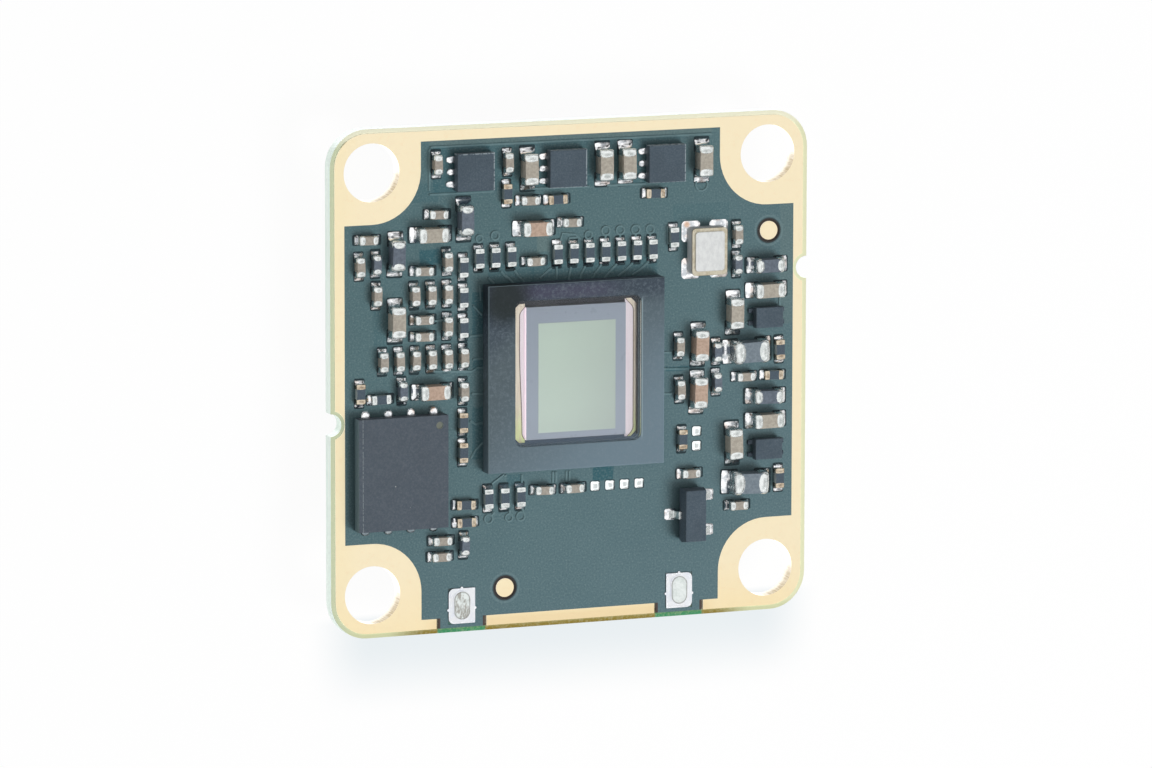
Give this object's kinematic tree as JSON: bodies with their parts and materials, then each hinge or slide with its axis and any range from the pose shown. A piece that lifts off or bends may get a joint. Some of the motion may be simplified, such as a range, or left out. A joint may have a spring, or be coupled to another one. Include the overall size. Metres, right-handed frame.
{
  "type": "camera module",
  "caption": "Bare board-level camera: square board with a glass-lidded image sensor, power and memory chips, gold border with a bolt hole at each corner and a data receptacle on the rear.",
  "frame": {"origin": "middle of the four mounting holes, on the plane of the front lands and solder mask", "axes": "+X to the right and +Y up as the front is looked at, away from the edge that holds the receptacle; +Z out of the front, along the sensor's optical axis"},
  "size_m": [0.027, 0.027, 0.0042],
  "materials": {
    "laminate": "glass fibre laminate, cut edges",
    "solder_mask": "teal green solder mask, semi-gloss",
    "gold_plate": "gold plating, satin",
    "solder": "solder, bright and uneven",
    "sensor_ceramic": "dark grey moulded package, matt",
    "sensor_silicon": "silicon, polished",
    "pixel_array": "colour filter and microlens layer",
    "bond_strip": "gold bonding fingers",
    "cover_glass": "coated cover glass",
    "mould_compound": "black mould compound, matt",
    "tan_ceramic": "tan capacitor ceramic",
    "brown_ceramic": "brown capacitor ceramic",
    "resistor_glaze": "dark resistor glaze",
    "ferrite": "grey ferrite",
    "tin_plate": "matt tin plating",
    "oscillator_ceramic": "dark ceramic base",
    "lid_metal": "nickel plated lid",
    "connector_steel": "tin plated steel",
    "connector_plastic": "black insulator"
  },
  "bodies": {
    "root": {"circuit_board": "laminate", "ground_plating": "gold_plate", "solder_mask_front": "solder_mask", "solder_mask_rear": "solder_mask", "fiducial_marks": "gold_plate", "sensor_package": "sensor_ceramic", "sensor_chip": "sensor_silicon", "sensor_pixel_array": "pixel_array", "sensor_bond_strips": "bond_strip", "sensor_cover_glass": "cover_glass", "small_capacitors": "tan_ceramic", "small_capacitor_ends": "tin_plate", "filter_capacitors": "brown_ceramic", "filter_capacitor_ends": "tin_plate", "large_capacitors": "tan_ceramic", "large_capacitor_ends": "tin_plate", "resistors": "resistor_glaze", "resistor_ends": "tin_plate", "terminating_resistors": "resistor_glaze", "terminating_resistor_ends": "tin_plate", "small_ferrite_beads": "ferrite", "small_ferrite_bead_ends": "tin_plate", "ferrite_beads": "ferrite", "ferrite_bead_ends": "tin_plate", "power_inductors": "ferrite", "power_inductor_ends": "tin_plate", "flash_memory": "mould_compound", "flash_memory_terminals": "solder", "voltage_regulators": "mould_compound", "regulator_terminals": "solder", "protection_arrays": "mould_compound", "protection_array_leads": "tin_plate", "oscillator_base": "oscillator_ceramic", "oscillator_seal_ring": "gold_plate", "oscillator_lid": "lid_metal", "power_transistor": "mould_compound", "transistor_leads": "tin_plate", "spare_pads": "solder", "front_solder_fillets": "solder", "interface_controller": "mould_compound", "controller_balls": "solder", "image_processor": "mould_compound", "processor_terminals": "solder", "crystal_base": "oscillator_ceramic", "crystal_lid": "lid_metal", "rear_capacitors": "tan_ceramic", "rear_capacitor_ends": "tin_plate", "rear_resistors": "resistor_glaze", "rear_resistor_ends": "tin_plate", "rear_solder_fillets": "solder", "receptacle_shell": "connector_steel", "receptacle_insulator": "connector_plastic", "receptacle_contacts": "gold_plate", "receptacle_tab_joints": "solder"}
  },
  "joints": []
}
